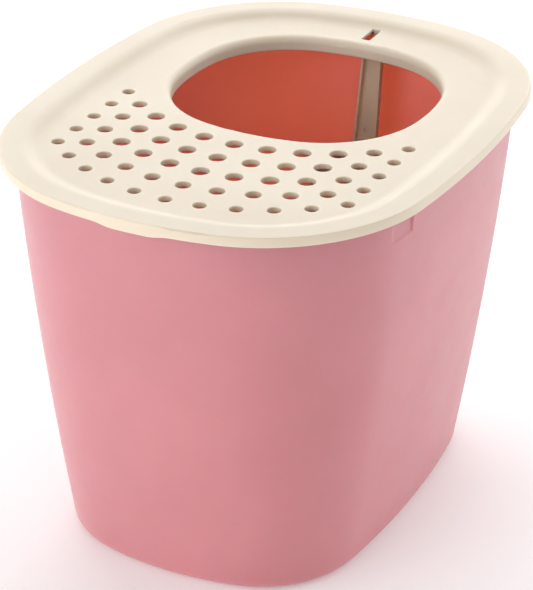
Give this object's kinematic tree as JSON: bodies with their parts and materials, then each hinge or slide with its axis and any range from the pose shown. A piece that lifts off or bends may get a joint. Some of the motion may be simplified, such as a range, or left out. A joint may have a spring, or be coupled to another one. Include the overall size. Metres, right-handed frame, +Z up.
{
  "type": "cat litter box with hood",
  "caption": "Top-entry cat litter box: a tapered open tub under a dished lift-off lid with a large entry opening, litter-shedding holes and a hanging scoop.",
  "frame": {"origin": "on the floor, under the middle of the lid's oval", "axes": "+Z up, +Y towards the rear (entry opening and scoop), -Y the front (litter holes and finger tab), +X right"},
  "size_m": [0.41, 0.5199, 0.38],
  "materials": {
    "tub_plastic": "satin moulded polypropylene",
    "lid_plastic": "satin moulded polypropylene",
    "scoop_plastic": "satin moulded polypropylene",
    "foot_rubber": "matte"
  },
  "bodies": {
    "tub": {"tub": "tub_plastic", "foot_front_left": "foot_rubber", "foot_front_right": "foot_rubber", "foot_rear_left": "foot_rubber", "foot_rear_right": "foot_rubber"},
    "lid": {"lid": "lid_plastic"},
    "scoop": {"scoop": "scoop_plastic"}
  },
  "joints": [
    {"name": "lid_lift", "type": "slide", "parent": "tub", "child": "lid", "axis": [0, 0, 1], "range_m": [0, 0.3]},
    {"name": "scoop_swing", "type": "hinge", "parent": "lid", "child": "scoop", "pos_m": [0, 0.2215, 0.3571], "axis": [-1, 0, 0], "range_deg": [0, 40]}
  ]
}
